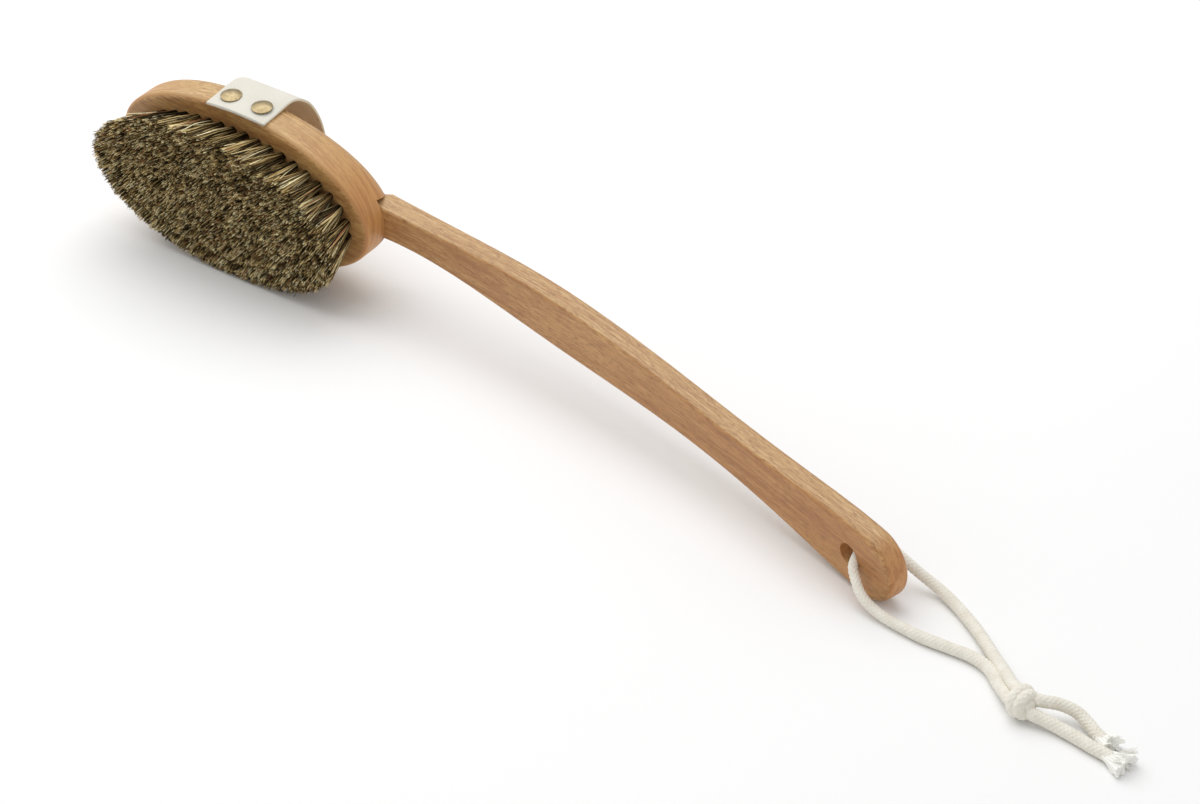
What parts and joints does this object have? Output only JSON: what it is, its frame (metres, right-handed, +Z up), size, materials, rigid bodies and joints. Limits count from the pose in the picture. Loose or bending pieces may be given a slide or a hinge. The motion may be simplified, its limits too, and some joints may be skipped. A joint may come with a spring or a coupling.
{
  "type": "body dry brush",
  "caption": "Oval wooden bath brush with natural bristles, a nailed hand strap, a curved pull-off handle and a knotted hanging cord, lying on its side.",
  "frame": {"origin": "bottom centre of the box of the brush without its hanging cord, on the table it lies on", "axes": "+X along the brush towards the handle's end, +Y towards the head's back and strap, +Z up from the table"},
  "size_m": [0.5188, 0.117, 0.0763],
  "materials": {
    "beech": "fine-sanded, oiled beech",
    "bristle": "mixed dark and straw natural fibre, dry",
    "wire": "drawn wire",
    "webbing": "undyed cotton webbing",
    "nail": "antique brass",
    "cotton": "braided undyed cotton"
  },
  "bodies": {
    "head": {"head_block": "beech", "hand_strap": "webbing", "tufts_outer_ring": "bristle", "tuft_anchors_outer_ring": "wire", "tufts_second_ring": "bristle", "tuft_anchors_second_ring": "wire", "tufts_third_ring": "bristle", "tuft_anchors_third_ring": "wire", "tufts_inner_ring": "bristle", "tuft_anchors_inner_ring": "wire", "tufts_centre_row": "bristle", "tuft_anchors_centre_row": "wire", "strap_nail_upper_left": "nail", "strap_nail_upper_right": "nail", "strap_nail_lower_left": "nail", "strap_nail_lower_right": "nail"},
    "handle": {"handle": "beech", "cord_front_run": "cotton", "cord_rear_run": "cotton", "cord_knot": "cotton", "cord_frayed_end_lower": "cotton", "cord_frayed_end_upper": "cotton"}
  },
  "joints": [
    {"name": "handle_slide", "type": "slide", "parent": "head", "child": "handle", "axis": [0.9988, 0, -0.0496], "range_m": [0, 0.06]}
  ]
}
